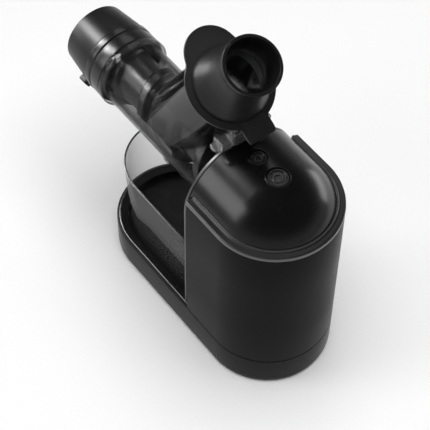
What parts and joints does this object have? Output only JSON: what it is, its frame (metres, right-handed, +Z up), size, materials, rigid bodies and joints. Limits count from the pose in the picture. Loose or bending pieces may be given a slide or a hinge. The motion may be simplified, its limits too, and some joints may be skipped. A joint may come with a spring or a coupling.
{
  "type": "horizontal slow juicer",
  "caption": "Horizontal slow juicer: domed black housing on a long base, clear drum with auger and tilted feed tube, bell hopper, end cap and clear jug.",
  "frame": {"origin": "centre of the underside of the middle foot, midway between the two round ends of the base", "axes": "+Z up; -Y towards the drum and end cap; +Y towards the round back of the motor housing; mirror plane x = 0 for the outer form"},
  "size_m": [0.124, 0.3381, 0.3608],
  "materials": {
    "base_plate": "matt dark moulding",
    "rubber_foot_1": "matt rubber",
    "rubber_foot_2": "matt rubber",
    "rubber_foot_3": "matt rubber",
    "rubber_foot_4": "matt rubber",
    "rubber_foot_5": "matt rubber",
    "base_screw_1": "machined or pressed steel",
    "base_screw_2": "machined or pressed steel",
    "base_screw_3": "machined or pressed steel",
    "base_screw_4": "machined or pressed steel",
    "cable_grommet": "matt rubber",
    "base_tray": "satin gloss black",
    "housing_sleeve": "satin gloss black",
    "shoulder_ring": "satin gloss black",
    "dome_cover": "satin gloss black",
    "front_bulkhead": "satin gloss black",
    "power_switch": "matt dark moulding",
    "reverse_switch": "matt dark moulding",
    "power_spring": "machined or pressed steel",
    "reverse_spring": "machined or pressed steel",
    "control_board": "coated laminate",
    "board_capacitor": "sleeved can",
    "board_relay": "matt dark moulding",
    "motor_can": "machined or pressed steel",
    "motor_bell": "matt dark moulding",
    "motor_cradle": "matt dark moulding",
    "gearbox_cover": "matt dark moulding",
    "gearbox_case": "matt dark moulding",
    "spindle_bush": "sintered bronze",
    "power_button": "satin gloss black",
    "reverse_button": "satin gloss black",
    "motor_rotor": "machined or pressed steel",
    "layshaft_gear": "machined or pressed steel",
    "output_spindle": "machined or pressed steel",
    "drum_body": "clear smoky copolyester",
    "drum_seal": "matt rubber",
    "strainer_screen": "machined or pressed steel",
    "auger": "glossy dark nylon",
    "locking_collar": "satin gloss black",
    "end_cap": "satin gloss black",
    "pressure_knob": "matt dark moulding",
    "hopper_bell": "satin gloss black",
    "hopper_plate": "satin gloss black",
    "jug": "clear smoky copolyester"
  },
  "bodies": {
    "housing": {"base_plate": "base_plate", "rubber_foot_1": "rubber_foot_1", "rubber_foot_2": "rubber_foot_2", "rubber_foot_3": "rubber_foot_3", "rubber_foot_4": "rubber_foot_4", "rubber_foot_5": "rubber_foot_5", "base_screw_1": "base_screw_1", "base_screw_2": "base_screw_2", "base_screw_3": "base_screw_3", "base_screw_4": "base_screw_4", "cable_grommet": "cable_grommet", "base_tray": "base_tray", "housing_sleeve": "housing_sleeve", "shoulder_ring": "shoulder_ring", "dome_cover": "dome_cover", "front_bulkhead": "front_bulkhead", "power_switch": "power_switch", "reverse_switch": "reverse_switch", "power_spring": "power_spring", "reverse_spring": "reverse_spring", "control_board": "control_board", "board_capacitor": "board_capacitor", "board_relay": "board_relay", "motor_can": "motor_can", "motor_bell": "motor_bell", "motor_cradle": "motor_cradle", "gearbox_cover": "gearbox_cover", "gearbox_case": "gearbox_case", "spindle_bush": "spindle_bush"},
    "power_button": {"power_button": "power_button"},
    "reverse_button": {"reverse_button": "reverse_button"},
    "rotor": {"motor_rotor": "motor_rotor"},
    "layshaft": {"layshaft_gear": "layshaft_gear"},
    "spindle": {"output_spindle": "output_spindle"},
    "drum": {"drum_body": "drum_body", "drum_seal": "drum_seal", "strainer_screen": "strainer_screen"},
    "auger": {"auger": "auger"},
    "collar": {"locking_collar": "locking_collar"},
    "end_cap": {"end_cap": "end_cap"},
    "knob": {"pressure_knob": "pressure_knob"},
    "hopper": {"hopper_bell": "hopper_bell", "hopper_plate": "hopper_plate"},
    "jug": {"jug": "jug"}
  },
  "joints": [
    {"name": "power_press", "type": "slide", "parent": "housing", "child": "power_button", "axis": [0, 0, -1], "range_m": [0, 0.002], "stiffness_N_per_m": 600, "deforming": ["power_spring"]},
    {"name": "reverse_press", "type": "slide", "parent": "housing", "child": "reverse_button", "axis": [0, 0, -1], "range_m": [0, 0.002], "stiffness_N_per_m": 600, "deforming": ["reverse_spring"]},
    {"name": "motor_spin", "type": "hinge", "parent": "housing", "child": "rotor", "pos_m": [0, 0, 0.181], "axis": [0, 1, 0], "continuous": true},
    {"name": "layshaft_spin", "type": "hinge", "parent": "housing", "child": "layshaft", "pos_m": [0, 0, 0.151], "axis": [0, 1, 0], "continuous": true},
    {"name": "spindle_spin", "type": "hinge", "parent": "housing", "child": "spindle", "pos_m": [0, 0, 0.181], "axis": [0, 1, 0], "continuous": true},
    {"name": "drum_pull", "type": "slide", "parent": "housing", "child": "drum", "axis": [0, -1, 0], "range_m": [0, 0.036]},
    {"name": "auger_spin", "type": "hinge", "parent": "drum", "child": "auger", "pos_m": [0, 0, 0.181], "axis": [0, 1, 0], "continuous": true},
    {"name": "collar_twist", "type": "hinge", "parent": "drum", "child": "collar", "pos_m": [0, 0, 0.181], "axis": [0, 1, 0], "range_deg": [0, 35]},
    {"name": "cap_pull", "type": "slide", "parent": "drum", "child": "end_cap", "axis": [0, -1, 0], "range_m": [0, 0.045]},
    {"name": "knob_turn", "type": "hinge", "parent": "end_cap", "child": "knob", "pos_m": [0, 0, 0.181], "axis": [0, 1, 0], "range_deg": [0, 180]},
    {"name": "hopper_lift", "type": "slide", "parent": "drum", "child": "hopper", "axis": [0, 0.5, 0.866], "range_m": [0, 0.06]},
    {"name": "jug_lift", "type": "slide", "parent": "housing", "child": "jug", "axis": [0, -0.5, 0.866], "range_m": [0, 0.012]}
  ],
  "couplings": [
    {"joint": "layshaft_spin", "follows": "motor_spin", "ratio": -0.27778},
    {"joint": "spindle_spin", "follows": "motor_spin", "ratio": 0.07716},
    {"joint": "auger_spin", "follows": "motor_spin", "ratio": 0.07716}
  ]
}
